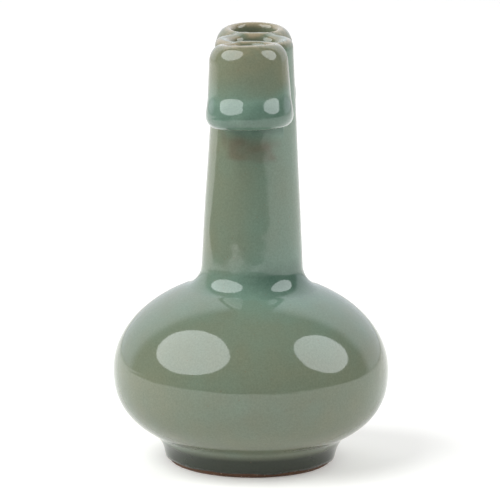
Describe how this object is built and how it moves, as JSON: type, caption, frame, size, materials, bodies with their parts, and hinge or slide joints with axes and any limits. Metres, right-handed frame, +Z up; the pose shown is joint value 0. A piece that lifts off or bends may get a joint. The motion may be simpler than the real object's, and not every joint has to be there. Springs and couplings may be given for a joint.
{
  "type": "stoneware bottle",
  "caption": "Celadon-glazed stoneware bottle with a squat round body, a foot ring, a tapering neck and an open tube lug on each side of the mouth.",
  "frame": {"origin": "middle of the foot ring, on the surface that the bottle stands on", "axes": "+Z up along the bottle's axis; the two lugs stand at -Y (front) and +Y (rear)"},
  "size_m": [0.112, 0.112, 0.1758],
  "materials": {
    "bare_clay": "bare fired brown stoneware, wiped foot",
    "clay": "fired brown stoneware under the glaze",
    "slip": "fired slip in the joints",
    "base_glaze": "glossy celadon",
    "liner_glaze": "glossy celadon, poured",
    "outer_glaze": "glossy celadon, dipped, brown where thin"
  },
  "bodies": {
    "root": {"foot_ring": "bare_clay", "lower_bowl": "clay", "upper_bowl": "clay", "neck": "clay", "front_lug": "clay", "rear_lug": "clay", "foot_slip": "slip", "waist_slip": "slip", "neck_slip": "slip", "front_lug_slip": "slip", "rear_lug_slip": "slip", "base_glaze": "base_glaze", "liner_glaze": "liner_glaze", "outer_glaze": "outer_glaze"}
  },
  "joints": []
}
